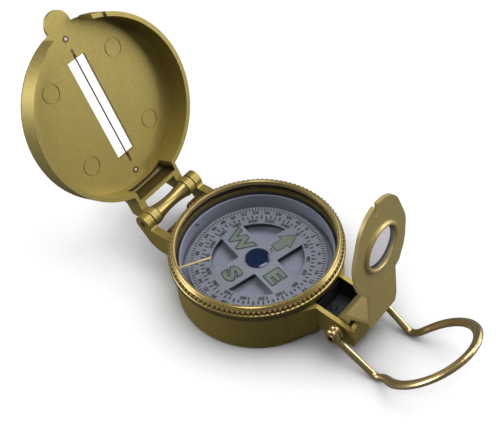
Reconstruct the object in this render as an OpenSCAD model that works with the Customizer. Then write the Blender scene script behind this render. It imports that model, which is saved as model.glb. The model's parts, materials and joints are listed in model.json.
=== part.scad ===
/* [Case] */
// Outer radius of the round case
case_r = 24.8; // [22:0.1:30]
// Height of the case wall, from the underside to the gap under the bezel
case_h = 13.7; // [12.5:0.1:16]
// Thickness of the case wall
case_wall = 1.9; // [1.4:0.1:2.4]
// Thickness of the case floor
case_floor = 1.6; // [1:0.1:2.4]
// Bevel round the underside
foot_bevel = 0.6; // [0.2:0.1:1]
// Height of the neck that guides the bezel, above the case wall
neck_h = 1; // [0.8:0.05:1.2]
// Thickness of the neck
neck_wall = 0.72; // [0.6:0.02:0.9]
// Step from the case wall in to the neck
neck_step = 0.58; // [0.5:0.02:0.7]

/* [Bezel] */
// Height of the bezel
bezel_h = 4.45; // [4.2:0.05:5]
// How far the bezel's lower flange stands out past the case
flange_out = 0.9; // [0.6:0.05:1.2]
// Height of the lower flange
flange_h = 2.15; // [1.8:0.05:2.4]
// Number of grip teeth round the bezel
tooth_count = 108; // [72:4:144]
// Depth of a grip tooth
tooth_depth = 0.3; // [0.15:0.05:0.4]
// Width of the rounded top bead
bead_w = 1.1; // [0.9:0.05:1.3]
// Height of the lip over the crystal
lip_h = 1.5; // [1.2:0.05:1.7]
// Width of the lip over the crystal, measured in from the bore
lip_w = 1; // [0.7:0.05:1.2]

/* [Crystal] */
// Thickness of the crystal
crystal_t = 1; // [0.7:0.05:1.2]
// Length of the luminous index line
index_len = 9.7; // [6:0.1:14]
// Width of the luminous index line
index_w = 0.7; // [0.3:0.05:1.2]
// Angle of the index line, counted from the right-hand side
index_angle = 148; // [0:1:359]
// How far the index dot lies inside the bezel's lip
index_dot_in = 4.2; // [2:0.1:9]
// Radius of the index dot
index_dot_r = 0.55; // [0.3:0.05:0.9]

/* [Dial] */
// Gap between the dial card and the capsule wall
card_gap = 1.9; // [1:0.1:4]
// Height of the dial card's underside above the table
card_z = 9.7; // [8.5:0.1:10.5]
// Thickness of the dial card
card_t = 0.35; // [0.25:0.05:0.6]
// Direction of north on the card, counted from the right-hand side
card_heading = -16.4; // [-180:0.1:180]
// Width of the card's rim outside its four sector windows
card_rim = 6.6; // [5:0.1:9]
// Half angle of a sector window
window_half = 28.5; // [20:0.5:34]
// Radius of the hub cap
hub_r = 3.65; // [2.6:0.05:4.4]
// Width of the card between the hub cap and the sector windows
hub_rim = 2.35; // [1.5:0.05:3]
// Height of the hub cap above the card
hub_h = 0.6; // [0.4:0.05:1]
// How far the bar magnet's ends lie inside the card's edge
magnet_in = 3.4; // [2:0.1:8]
// Width of the bar magnet
magnet_w = 5; // [4:0.1:7]
// Thickness of the bar magnet
magnet_t = 1.2; // [0.8:0.1:1.6]
// Radius of the pivot pin
pivot_r = 0.5; // [0.4:0.05:0.7]
// Thickness of the capsule wall
capsule_wall = 0.55; // [0.4:0.05:0.8]
// Thickness of the capsule floor
capsule_floor = 0.9; // [0.6:0.1:1.4]
// Height of the capsule floor's upper face above the table
capsule_z = 6.5; // [5.5:0.1:6.8]
// How far the north arrow's tip lies inside the card's edge
arrow_in = 6.3; // [5.5:0.1:7]
// Half width of the north arrow's head
arrow_half = 2.7; // [2:0.1:3.2]
// Number of ticks in the card's outer ring
tick_count = 64; // [32:32:128]

/* [Cover] */
// Gap between the closed cover's side wall and the bezel
cover_gap = 0.4; // [0.3:0.05:2]
// Depth of the cover, from its rim to its back
cover_h = 8.6; // [8:0.1:11]
// Height of the closed cover's rim above the case wall
cover_rim_up = 2.5; // [1.6:0.1:5]
// Thickness of the cover's side wall
cover_wall = 1.4; // [1:0.1:1.5]
// Thickness of the cover's flat back
cover_back = 1; // [0.8:0.1:1.5]
// Rounding of the cover's back edge
cover_round = 2.4; // [1:0.1:3]
// How far the cover stands open in degrees
cover_open = 112.4; // [90:0.1:140]
// Width of the sighting slot
slot_w = 6.6; // [5:0.1:9]
// How far the ends of the sighting slot lie inside the cover's side wall
slot_in = 9.5; // [9:0.1:13]
// Radius of the sighting wire
wire_r = 0.22; // [0.1:0.01:0.25]
// How far the luminous dots lie inside the cover's side wall
dot_in = 3.25; // [2.1:0.05:6]
// Radius of a luminous dot
dot_r = 0.55; // [0.4:0.05:0.9]
// Width of the copper cup round a luminous dot
dot_cup_w = 0.4; // [0.3:0.05:0.5]
// Radius of the round thumb tab
tab_r = 4.4; // [3.5:0.1:6]
// How far the middle of the tab lies inside the cover's edge
tab_in = 0.3; // [-1:0.1:1.5]
// Width of the gap in the side wall under the tab
tab_gap_w = 14.2; // [13.4:0.1:18]

/* [Cover hinge] */
// Distance of the hinge axis behind the case wall
hinge_back = 9; // [8.5:0.1:14]
// Height of the hinge axis above the case wall
hinge_up = 0.8; // [0:0.1:1.6]
// Outer radius of the hinge knuckles
knuckle_r = 2.9; // [2.4:0.1:3.2]
// Radius of the hinge pin
hinge_pin_r = 1.1; // [0.8:0.05:1.4]
// Distance between the outer faces of the case's knuckles
hinge_w = 24; // [22:0.5:30]
// Width of one knuckle on the case
knuckle_w = 2.6; // [2:0.1:3]
// Width of one knuckle on the cover
ring_w = 2.5; // [2:0.1:3]
// Radius of the waist of the hinge spool
waist_r = 2; // [1.5:0.05:2.3]

/* [Lens bracket] */
// Distance of the bracket's pin in front of the case wall
rear_out = 8.6; // [8.4:0.1:13]
// Height of the bracket's pin above the fork's underside
rear_up = 4; // [3.9:0.1:4.6]
// Radius of the bracket's pin
rear_pin_r = 1.1; // [0.8:0.05:1.3]
// Width of the bracket's neck
neck_w = 12; // [11:0.1:13]
// Radius of the wide part of the bracket's head
head_half = 11.4; // [10:0.1:12.5]
// Radius of the top of the bracket's head
head_top_r = 9.2; // [8:0.1:10]
// Height of the head's rounded top over its wide part
head_rise = 6.3; // [6:0.1:9]
// Thickness of the bracket plate
plate_t = 1.05; // [0.9:0.05:1.8]
// Distance of the plate's back face from the pin
plate_off = 9.55; // [9.4:0.05:11]
// Height of the lens centre above the pin
lens_up = 32.9; // [30:0.1:36]
// Radius of the clear lens opening
lens_hole_r = 5.95; // [5:0.05:7.5]
// Width of the raised lip round the lens
lens_lip_w = 1.2; // [0.8:0.05:1.6]
// Lean of the upright bracket towards the dial, in degrees
bracket_lean = 4; // [0:0.5:6]
// Depth of the sighting notch
notch_d = 3.6; // [2:0.1:5]
// Width of the sighting notch
notch_w = 1.2; // [0.8:0.1:2]
// How far the notch lies to the left of the bracket's middle line
notch_left = 0.9; // [0:0.1:1.5]

/* [Fork] */
// Clear width between the rails of the fork
fork_gap = 11.2; // [10.4:0.1:11.6]
// Thickness of a rail of the fork
rail_t = 1.4; // [1:0.1:2]
// Height of the underside of the fork above the table
fork_z = 5.4; // [4:0.1:5.6]
// How far the fork reaches past the bracket's pin
fork_past = 5.2; // [5:0.1:8]
// Thickness of the fork's floor
fork_floor = 1; // [0.6:0.1:1.2]
// Thickness of the fork's front plate
fork_bar = 1.3; // [1:0.1:1.5]
// Height of the rails' front end above the fork's underside
rail_end_up = 6.3; // [5.9:0.1:7.5]
// Height of the front plate above the fork's underside
front_plate_h = 8.2; // [6.5:0.1:8.4]

/* [Thumb loop] */
// Radius of the loop's wire
loop_wire_r = 1; // [0.7:0.05:1.1]
// How much wider than thick the wire is pressed round the loop's wide part
loop_press = 1.4; // [1:0.05:1.6]
// Length of the loop's straight arms, from the pin to the bend
loop_arm = 16.5; // [14:0.1:20]
// Length of the loop past the bend
loop_reach = 30.4; // [26:0.1:34]
// Half width of the loop's wide part
loop_half = 12.1; // [11:0.1:14]
// Rise of the loop past the bend in degrees
loop_rise = 44; // [30:1:60]
// Outer radius of the eyes coiled at the loop's ends
eye_r = 2.5; // [2.4:0.05:2.9]
// Length of an eye, which is two turns of the wire
eye_t = 3.2; // [2.8:0.1:3.6]

/* [Click spring] */
// Thickness of the click spring's strip
click_t = 0.5; // [0.3:0.05:0.6]
// Width of the click spring's finger
click_w = 3.6; // [2.4:0.1:4.6]

/* [Hidden] */
// Gaps between pieces: a running fit, a tight fit and a free gap
run_gap = 0.08;
tight_gap = 0.02;
free_gap = 0.3;
// Facets of round pieces
FINE = 180;
MID = 72;
SMALL = 40;
// Overlap that makes a cut pass a face cleanly
CUT = 0.5;

// Case and bezel
case_in_r = case_r - case_wall;
neck_r = case_r - neck_step;
neck_in_r = neck_r - neck_wall;
seat_z = case_h - 0.4;
neck_top = case_h + neck_h;
bezel_z = case_h + 0.35;
bezel_top = bezel_z + bezel_h;
bore_r = neck_r + run_gap;
flange_r = case_r + flange_out;
flange_top = bezel_z + flange_h;
tooth_r = flange_r - 0.3;
bead_top_r = bore_r - lip_w;
snap_z = bezel_z + 0.15;
snap_h = 0.3;
snap_in = 0.22;
snap_out = 0.2;
thrust_h = 0.25;

// Crystal
crystal_top = bezel_top - lip_h;
index_dot_at = bead_top_r - index_dot_in;
crystal_z = crystal_top - crystal_t;
crystal_r = bore_r - 0.05;
retainer_h = 0.55;
retainer_w = 0.5;
mark_t = 0.1;

// Capsule and dial
capsule_r = case_in_r - 0.05;
capsule_in_r = capsule_r - capsule_wall;
gasket_h = 0.45;
card_top = card_z + card_t;
card_r = capsule_in_r - card_gap;
window_r = card_r - card_rim;
window_in = hub_r + hub_rim;
magnet_l = 2 * (card_r - magnet_in);
arrow_tail = window_in + 0.2;
arrow_tip = card_r - arrow_in;
stem_r = 1.6;
jewel_r = 0.8;
jewel_h = 0.9;
jewel_z = card_z - 0.5;
cup_d = 0.45;
pivot_tip = jewel_z + cup_d - 0.1;
pivot_cone = 1;
seat_r = 3;
seat_h = 1.2;
print_t = 0.08;

// Cover
cover_rim_z = case_h + cover_rim_up;
cover_z = cover_rim_z + cover_h;
cover_in_r = flange_r + cover_gap;
cover_r = cover_in_r + cover_wall;
dot_at = cover_in_r - dot_in;
slot_l = 2 * (cover_in_r - slot_in);
tab_at = cover_r - tab_in;
hinge_y = case_r + hinge_back;
hinge_z = case_h + hinge_up;
cover_floor_z = cover_z - cover_back;
block_half = hinge_w / 2 - knuckle_w - 0.4;
block_y = cover_r + 1.6;
block_low = 2.4;
skirt_step = 0.9;
skirt_step_w = 4;
pocket_half = block_half - 1.1;
pocket_y = block_y - 1.2;
pocket_z = cover_floor_z - 0.2;
pocket_bevel = 1.2;
ridge_w = 0.6;
ridge_h = 1.5;
ring_in = block_half - ring_w;
spool_half = ring_in - free_gap;
groove_w = 0.85;
groove_l = 3;
groove_d = 0.6;
wire_z = cover_floor_z + groove_d / 2;
wire_half = slot_l / 2 + groove_l;
dot_h = 0.5;
print_r = 3;
print_w = 0.4;
print_d = 0.2;
print_at = cover_r * 0.458;

// Case arms
arm_in = hinge_w / 2 - knuckle_w;
arm_out = hinge_w / 2;
arm_low = 6.1;
pin_inset = knuckle_w * 0.55;

// Fork and bracket
rear_y = case_r + rear_out;
rear_z = fork_z + rear_up;
fork_end = rear_y + fork_past;
rail_end_top = fork_z + rail_end_up;
front_top = fork_z + front_plate_h;
rail_in = fork_gap / 2;
rail_out = rail_in + rail_t;
rail_top = case_h - 0.2;
well_z = fork_z + fork_floor;
pad_half = rail_out + 6.5;
pad_step = 0.45;
pad_wall_y = sqrt(case_r * case_r - pad_half * pad_half);
pad_root_y = case_r + 1.1;
pad_z = 2.6;
plate_corner = 1.5;
barrel_r = 2.4;
web_half = rail_in - 0.35;
plate_low = 7;
leaf_t = 0.3;
lens_r = lens_hole_r + 0.45;
lens_seat = 0.75;
lens_edge = 0.5;
lens_crown = 0.75;
lip_rise = 0.8;
head_mid = lens_up - 0.4;
neck_top_up = head_mid - head_half - 1;
shoulder_up = [head_mid - head_half * 0.18, head_mid - head_half * 0.43, head_mid - head_half * 0.68];
neck_flare = 1.8;

// Loop
eye_in = rail_out + free_gap;
eye_out = eye_in + eye_t;
turn_r = eye_t / 4;
head_r = 1.5;
head_h = 0.3;
hollow_r = 0.65;
hollow_d = 2.6;
arm_x = eye_out - loop_wire_r - 0.05;
kink_z = loop_wire_r - 0.65;
arm_drop = asin((rear_z - kink_z) / loop_arm);
bend_cut = 2.2;
oval_mid = 14.5;
oval_tall = loop_reach - oval_mid;
oval_from = -35.3;
press_from = 6;
LOOP_SIDES = 16;
LOOP_STEPS = 24;

// Click spring
lug_x0 = -8.8;
lug_x1 = -4.2;
lug_past = 1.9;
lug_drop = 1.3;
lug_h = 3.2;
lug_y = flange_r + lug_past;
lug_top = case_h - lug_drop;
lug_z = lug_top - lug_h;
click_x1 = 4.4;
click_root_y = case_r + click_t + 0.2;
click_bend = 1.2;
click_nose = 0.5;
click_top = lug_top + click_t;
click_back = lug_y - 0.1;

// A flat ring between two radii
module ring(r_in, r_out, z, h, facets) {
    translate([0, 0, z])
        rotate_extrude($fn = facets)
            translate([r_in, 0])
                square([r_out - r_in, h]);
}

// A cylinder that lies along X, from x0 to x1, centred on a hinge axis
module along_x(x0, x1, r, y, z) {
    translate([x0, y, z])
        rotate([0, 90, 0])
            cylinder(h = x1 - x0, r = r, $fn = SMALL);
}

// An outline in Y and Z, extruded along X from x0 to x1
module side_profile(points, x0, x1) {
    translate([x0, 0, 0])
        rotate([90, 0, 90])
            linear_extrude(height = x1 - x0)
                polygon(points);
}

// The same piece on the left and on the right
module both_sides() {
    children();
    mirror([1, 0, 0]) children();
}

// Places the cover's pieces, drawn closed, where the open cover holds them
module opened() {
    translate([0, hinge_y, hinge_z])
        rotate([-cover_open, 0, 0])
            translate([0, -hinge_y, -hinge_z])
                children();
}

// Places the bracket's pieces, drawn upright round its pin, in the case
module at_rear_pin() {
    translate([0, -rear_y, rear_z])
        rotate([-bracket_lean, 0, 0])
            children();
}

// Turns the dial's pieces to the direction that the card points in
module to_north() {
    rotate([0, 0, card_heading]) children();
}

module case_cup() {
    rotate_extrude($fn = FINE)
        polygon([
            [0, 0], [case_r - foot_bevel, 0], [case_r, foot_bevel], [case_r, case_h], [neck_r, case_h],
            [neck_r, snap_z], [neck_r - snap_in, snap_z], [neck_r - snap_in, snap_z + snap_h],
            [neck_r, snap_z + snap_h], [neck_r, neck_top], [neck_in_r, neck_top], [neck_in_r, seat_z],
            [case_in_r, seat_z], [case_in_r, case_floor], [0, case_floor]
        ]);
}

module case_arms() {
    both_sides() {
        side_profile([
            [case_r - 3.5, arm_low - 0.4], [hinge_y - 4.7, arm_low], [hinge_y - 1.7, arm_low + 1.5],
            [hinge_y + knuckle_r * 0.7, hinge_z - knuckle_r * 0.7], [hinge_y, hinge_z],
            [hinge_y - knuckle_r * 0.9, hinge_z], [hinge_y - knuckle_r * 1.2, case_h], [case_r - 3.5, case_h]
        ], arm_in, arm_out);
        along_x(arm_in, arm_out, knuckle_r, hinge_y, hinge_z);
    }
}

module case_fork() {
    rail_from = -case_r + 1.5;
    difference() {
        union() {
            side_profile([
                [-fork_end, fork_z], [rail_from, fork_z], [rail_from, rail_top], [-case_r - 1, rail_top],
                [-fork_end + fork_bar, rail_end_top], [-fork_end, rail_end_top]
            ], -rail_out, rail_out);
            translate([0, 0, pad_z])
                linear_extrude(height = rail_top - pad_z)
                    polygon([[-pad_half, -pad_wall_y + pad_step], [-pad_half, -pad_wall_y - pad_step],
                        [-rail_out, -pad_root_y], [rail_out, -pad_root_y],
                        [pad_half, -pad_wall_y - pad_step], [pad_half, -pad_wall_y + pad_step]]);
        }
        translate([-rail_in, -fork_end + fork_bar, well_z])
            cube([fork_gap, fork_end - fork_bar + rail_from + 5, rail_top]);
    }
    translate([0, -fork_end + fork_bar, 0])
        rotate([90, 0, 0])
            linear_extrude(height = fork_bar)
                polygon([
                    [-rail_out, fork_z], [rail_out, fork_z], [rail_out, front_top - plate_corner],
                    [rail_out - plate_corner * 0.4, front_top - plate_corner * 0.4],
                    [rail_out - plate_corner, front_top], [-rail_out + plate_corner, front_top],
                    [-rail_out + plate_corner * 0.4, front_top - plate_corner * 0.4],
                    [-rail_out, front_top - plate_corner]
                ]);
}

module click_lug() {
    translate([lug_x0, case_r - 3, lug_z])
        cube([lug_x1 - lug_x0, lug_y - case_r + 3, lug_top - lug_z]);
}

module case() {
    color("darkkhaki") difference() {
        union() {
            case_cup();
            difference() {
                union() {
                    case_arms();
                    case_fork();
                    click_lug();
                }
                translate([0, 0, -CUT])
                    cylinder(h = 2 * case_h, r = case_r - case_wall / 2, $fn = FINE);
            }
        }
        along_x(-arm_out - CUT, arm_out + CUT, hinge_pin_r + tight_gap, hinge_y, hinge_z);
        along_x(-rail_out - CUT, rail_out + CUT, rear_pin_r + tight_gap, -rear_y, rear_z);
        translate([0, -leaf_rivet_y(), fork_z - CUT])
            cylinder(h = fork_floor + 2 * CUT, r = rivet_r() + tight_gap, $fn = SMALL);
        for (x = click_screw_x())
            translate([x, click_screw_y(), lug_top - screw_l()])
                cylinder(h = screw_l() + CUT, r = screw_r() + tight_gap, $fn = SMALL);
    }
}

module hinge_pin() {
    color("silver")
        along_x(-arm_out + pin_inset, arm_out - pin_inset, hinge_pin_r, hinge_y, hinge_z);
}

function click_screw_x() = [lug_x0 + 1.3, lug_x1 - 1.1];
function click_screw_y() = (click_root_y + click_back) / 2;
function screw_r() = 0.45;
function screw_l() = 2;

// Bronze strip on the lug, with a bent finger whose tip stands close to the bezel's teeth
module click_spring() {
    tip_y = tooth_r + free_gap + 0.05;
    tip_z = flange_top + free_gap;
    color("sienna") difference() {
        union() {
            translate([lug_x0 + 0.2, click_root_y, lug_top])
                cube([click_x1 - lug_x0 - 0.2, click_back - click_root_y, click_t]);
            side_profile([
                [click_back, lug_top], [click_back, tip_z - click_bend],
                [click_back - click_bend * 0.65, tip_z + click_nose], [tip_y, tip_z + click_nose],
                [tip_y, tip_z], [click_back - click_bend, tip_z],
                [click_back - click_t, tip_z - click_bend], [click_back - click_t, lug_top]
            ], click_x1 - click_w, click_x1);
        }
        for (x = click_screw_x())
            translate([x, click_screw_y(), lug_top - CUT])
                cylinder(h = click_t + 2 * CUT, r = screw_r() + tight_gap, $fn = SMALL);
    }
}

module click_screws() {
    color("silver")
        for (x = click_screw_x())
            translate([x, click_screw_y(), click_top]) {
                translate([0, 0, -click_t - screw_l() + 0.3])
                    cylinder(h = click_t + screw_l() - 0.3, r = screw_r(), $fn = SMALL);
                difference() {
                    cylinder(h = 0.4, r = screw_r() + 0.35, $fn = SMALL);
                    translate([-1.5, -0.13, 0.2])
                        cube([3, 0.26, CUT]);
                }
            }
}

module bezel_snap_ring() {
    color("dimgray")
        ring(neck_r - snap_in + tight_gap, bore_r + snap_out - 0.08, snap_z + tight_gap,
            snap_h - 2 * tight_gap, FINE);
}

module bezel_thrust_ring() {
    color("dimgray") ring(neck_r + 0.1, case_r - 0.1, case_h, thrust_h, FINE);
}

module capsule() {
    color("lightsteelblue")
        rotate_extrude($fn = FINE)
            polygon([
                [capsule_in_r, case_floor], [capsule_r, case_floor], [capsule_r, seat_z],
                [capsule_in_r, seat_z], [capsule_in_r, capsule_z], [0, capsule_z],
                [0, capsule_z - capsule_floor], [capsule_in_r, capsule_z - capsule_floor]
            ]);
}

module capsule_gasket() {
    color("black") ring(case_in_r - 0.15, neck_in_r - 0.05, seat_z, gasket_h, FINE);
}

module pivot_seat() {
    color("goldenrod") difference() {
        union() {
            translate([0, 0, capsule_z]) cylinder(h = seat_h * 0.5, r = seat_r, $fn = MID);
            translate([0, 0, capsule_z]) cylinder(h = seat_h, r = seat_r * 0.55, $fn = MID);
        }
        translate([0, 0, capsule_z - CUT])
            cylinder(h = seat_h + 2 * CUT, r = pivot_r + tight_gap, $fn = SMALL);
    }
}

module pivot_pin() {
    color("silver") {
        translate([0, 0, capsule_z])
            cylinder(h = pivot_tip - pivot_cone - capsule_z, r = pivot_r, $fn = SMALL);
        translate([0, 0, pivot_tip - pivot_cone])
            cylinder(h = pivot_cone, r1 = pivot_r, r2 = 0.06, $fn = SMALL);
    }
}

function leaf_rivet_y() = case_r + 2.2;
function rivet_r() = 0.6;

// Dark spring strip on the fork's floor, bent up in front of the case wall
module bracket_leaf() {
    leaf_from = fork_end - fork_bar - 0.4;
    leaf_to = case_r + 0.3;
    color("darkslategray") difference() {
        side_profile([
            [-leaf_from, well_z], [-leaf_to, well_z], [-leaf_to, rail_top - 1.2],
            [-leaf_to - leaf_t, rail_top - 1.2], [-leaf_to - leaf_t, well_z + leaf_t],
            [-leaf_from, well_z + leaf_t]
        ], -rail_in + free_gap, rail_in - free_gap);
        translate([0, -leaf_rivet_y(), well_z - CUT])
            cylinder(h = leaf_t + 2 * CUT, r = rivet_r() + tight_gap, $fn = SMALL);
    }
}

module leaf_rivet() {
    color("dimgray")
        translate([0, -leaf_rivet_y(), 0]) {
            translate([0, 0, fork_z])
                cylinder(h = fork_floor + leaf_t, r = rivet_r(), $fn = SMALL);
            translate([0, 0, well_z + leaf_t])
                cylinder(h = 0.35, r1 = rivet_r() + 0.6, r2 = rivet_r() + 0.2, $fn = SMALL);
        }
}

// Pin with hollow ends, whose rims hold the loop's eyes
module rear_pin() {
    head_x = eye_out + 0.05;
    color("darkgoldenrod")
        difference() {
            union() {
                along_x(-head_x, head_x, rear_pin_r, -rear_y, rear_z);
                both_sides() along_x(head_x, head_x + head_h, head_r, -rear_y, rear_z);
            }
            both_sides()
                along_x(head_x + head_h - hollow_d, head_x + head_h + CUT, hollow_r, -rear_y, rear_z);
        }
}

// The cover's solid outline, before its hollow is cut
module cover_blank() {
    round_steps = 6;
    rotate_extrude($fn = FINE)
        polygon(concat(
            [[0, cover_rim_z], [cover_r, cover_rim_z]],
            [for (i = [0:round_steps])
                let (a = 90 * i / round_steps)
                [cover_r - cover_round + cover_round * cos(a), cover_z - cover_round + cover_round * sin(a)]],
            [[0, cover_z]]
        ));
    side_profile([
        [cover_r - 8, cover_rim_z], [block_y, cover_rim_z], [block_y, cover_z - block_low],
        [block_y - block_low, cover_z], [cover_r - 8, cover_z]
    ], -block_half, block_half);
    translate([0, -tab_at, cover_floor_z])
        cylinder(h = cover_back, r = tab_r, $fn = MID);
    both_sides() {
        side_profile([
            [block_y - 3, cover_rim_z], [hinge_y - knuckle_r * 0.8, cover_rim_z], [hinge_y, hinge_z],
            [hinge_y + knuckle_r * 0.75, hinge_z + knuckle_r * 0.66], [hinge_y - 1, cover_z - block_low],
            [block_y - 3, cover_z - block_low]
        ], ring_in, block_half);
        along_x(ring_in, block_half, knuckle_r, hinge_y, hinge_z);
    }
}

// Everything that is cut out of the cover
module cover_cuts() {
    translate([0, 0, cover_rim_z - CUT])
        cylinder(h = cover_floor_z - cover_rim_z + CUT, r = cover_in_r, $fn = FINE);
    side_profile([
        [pocket_y - cover_r / 2, cover_rim_z - CUT], [pocket_y, cover_rim_z - CUT],
        [pocket_y, pocket_z - pocket_bevel], [pocket_y - pocket_bevel, pocket_z],
        [pocket_y - cover_r / 2, pocket_z]
    ], -pocket_half, pocket_half);
    translate([-tab_gap_w / 2, -cover_r - tab_r, cover_rim_z - CUT])
        cube([tab_gap_w, cover_r / 2, cover_floor_z - cover_rim_z + CUT]);
    translate([-tab_gap_w / 2 - skirt_step_w, -cover_r - CUT, cover_rim_z - CUT])
        cube([tab_gap_w + 2 * skirt_step_w, cover_r / 3, CUT + skirt_step]);
    translate([-slot_w / 2, -slot_l / 2, cover_floor_z - CUT])
        cube([slot_w, slot_l, cover_back + 2 * CUT]);
    translate([-groove_w / 2, -wire_half, cover_floor_z - CUT])
        cube([groove_w, 2 * wire_half, groove_d + CUT]);
    for (y = [-dot_at, dot_at])
        translate([0, y, cover_floor_z - CUT])
            cylinder(h = dot_h + CUT, r = dot_r + dot_cup_w + 2 * tight_gap, $fn = SMALL);
    for (x = [-print_at, print_at], y = [-print_at, print_at])
        ring_cut(x, y);
    along_x(-block_half - CUT, block_half + CUT, hinge_pin_r + run_gap, hinge_y, hinge_z);
}

// A shallow ring left by the casting, on the cover's inside
module ring_cut(x, y) {
    translate([x, y, cover_floor_z - CUT])
        difference() {
            cylinder(h = CUT + print_d, r = print_r, $fn = SMALL);
            translate([0, 0, -CUT]) cylinder(h = 3 * CUT, r = print_r - print_w, $fn = SMALL);
        }
}

module cover() {
    color("darkkhaki") opened() {
        difference() {
            cover_blank();
            cover_cuts();
        }
        pocket_ridge();
    }
}

// Low ridge that closes the round floor off from the pocket at the hinge
module pocket_ridge() {
    intersection() {
        ring(cover_in_r, cover_in_r + ridge_w, cover_floor_z - ridge_h, ridge_h + tight_gap, FINE);
        translate([-pocket_half - tight_gap, 0, 0])
            cube([2 * pocket_half + 2 * tight_gap, 2 * cover_r, cover_z]);
    }
}

module hinge_spool() {
    steps = 12;
    color("darkkhaki") opened()
        translate([0, hinge_y, hinge_z])
            rotate([0, 90, 0])
                rotate_extrude($fn = MID)
                    polygon(concat(
                        [[hinge_pin_r + run_gap, -spool_half]],
                        [for (i = [-steps:steps])
                            let (s = i / steps)
                            [waist_r + (knuckle_r - 0.15 - waist_r) * pow(abs(s), 2.2), s * spool_half]],
                        [[hinge_pin_r + run_gap, spool_half]]
                    ));
}

module sighting_wire() {
    color("saddlebrown") opened()
        translate([0, -wire_half + 0.3, wire_z])
            rotate([-90, 0, 0])
                cylinder(h = 2 * wire_half - 0.6, r = wire_r, $fn = 16);
}

// Small plugs that hold the wire's ends in their grooves
module wire_clamps() {
    plug_l = 1.6;
    plug_w = groove_w - 2 * tight_gap;
    plug_mid = wire_half - 0.1 - plug_l / 2;
    color("peru") opened()
        for (side = [-1, 1])
            translate([-plug_w / 2, side * plug_mid - plug_l / 2, cover_floor_z + tight_gap])
                difference() {
                    cube([plug_w, plug_l, groove_d - 2 * tight_gap]);
                    translate([plug_w / 2, -CUT, wire_z - cover_floor_z - tight_gap])
                        rotate([-90, 0, 0])
                            cylinder(h = plug_l + 2 * CUT, r = wire_r + tight_gap, $fn = 16);
                }
}

module luminous_dots() {
    color("ivory") opened()
        for (y = [-dot_at, dot_at])
            translate([0, y, cover_floor_z + dot_h]) {
                mirror([0, 0, 1]) cylinder(h = dot_h, r = dot_r, $fn = SMALL);
                translate([0, 0, -dot_h])
                    mirror([0, 0, 1]) cylinder(h = 0.2, r1 = dot_r, r2 = dot_r * 0.6, $fn = SMALL);
            }
}

// Copper rings round the luminous dots
module dot_cups() {
    stand_out = 0.12;
    cup_h = dot_h + stand_out;
    cup_in_r = dot_r + tight_gap;
    color("sienna") opened()
        for (y = [-dot_at, dot_at])
            translate([0, y, cover_floor_z - stand_out])
                difference() {
                    cylinder(h = cup_h, r = cup_in_r + dot_cup_w, $fn = SMALL);
                    translate([0, 0, -CUT]) cylinder(h = cup_h + 2 * CUT, r = cup_in_r, $fn = SMALL);
                }
}

// The bezel's round body, with its flange, groove, tooth band and bead
module bezel_body() {
    bead_mid = bead_top_r + bead_w / 2;
    rotate_extrude($fn = FINE)
        polygon([
            [bore_r, bezel_z], [flange_r - 0.35, bezel_z], [flange_r, bezel_z + 0.35],
            [flange_r, flange_top - 0.2], [flange_r - 0.2, flange_top], [tooth_r - 0.3, flange_top + 0.1],
            [tooth_r - tooth_depth, flange_top + 0.3], [tooth_r - tooth_depth, bezel_top - 1.2],
            [bead_top_r + bead_w + 0.05, bezel_top - 0.4], [bead_mid + 0.42, bezel_top - 0.15],
            [bead_mid + 0.2, bezel_top], [bead_mid - 0.2, bezel_top], [bead_mid - 0.42, bezel_top - 0.15],
            [bead_top_r, bezel_top - 0.4], [bead_top_r, crystal_top], [bore_r, crystal_top],
            [bore_r, snap_z + snap_h + 0.06], [bore_r + snap_out, snap_z + snap_h + 0.06],
            [bore_r + snap_out, snap_z - 0.06], [bore_r, snap_z - 0.06]
        ]);
}

// A band of grip teeth round the bezel's shoulder
module bezel_teeth() {
    tooth_z = flange_top + 0.35;
    tooth_h = bezel_top - 0.95 - tooth_z;
    step = 360 / tooth_count;
    translate([0, 0, tooth_z])
        linear_extrude(height = tooth_h)
            difference() {
                polygon([for (i = [0:tooth_count - 1], k = [[-0.3, 0], [-0.14, 1], [0.14, 1], [0.3, 0]])
                    let (a = (i + k[0]) * step, r = tooth_r - tooth_depth * 1.05 * (1 - k[1]))
                    [r * cos(a), r * sin(a)]]);
                circle(r = tooth_r - tooth_depth - 0.2, $fn = FINE);
            }
}

module bezel_ring() {
    color("goldenrod") {
        bezel_body();
        bezel_teeth();
    }
}

module crystal() {
    color("azure", 0.35)
        translate([0, 0, crystal_z])
            cylinder(h = crystal_t, r = crystal_r, $fn = FINE);
}

module crystal_retainer() {
    color("dimgray")
        ring(crystal_r - retainer_w, crystal_r, crystal_z - retainer_h, retainer_h, FINE);
}

module index_line() {
    color("khaki")
        rotate([0, 0, index_angle])
            translate([bead_top_r - 0.1 - index_len, -index_w / 2, crystal_top])
                cube([index_len, index_w, mark_t]);
}

module index_dot() {
    color("black")
        rotate([0, 0, index_angle - 45])
            translate([index_dot_at, 0, crystal_top])
                cylinder(h = mark_t, r = index_dot_r, $fn = SMALL);
}

// One sector window, its point towards the hub
module card_window() {
    steps = 8;
    polygon(concat(
        [[window_in - 0.3, 0], [window_in + 0.35, -0.75]],
        [for (i = [0:steps])
            let (a = window_half * (2 * i / steps - 1))
            [window_r * cos(a), window_r * sin(a)]],
        [[window_in + 0.35, 0.75]]
    ));
}

module compass_card() {
    color("gainsboro") to_north()
        translate([0, 0, card_z])
            linear_extrude(height = card_t)
                difference() {
                    circle(r = card_r, $fn = FINE);
                    circle(r = stem_r + tight_gap, $fn = MID);
                    for (a = [45:90:315]) rotate(a) card_window();
                }
}

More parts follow.
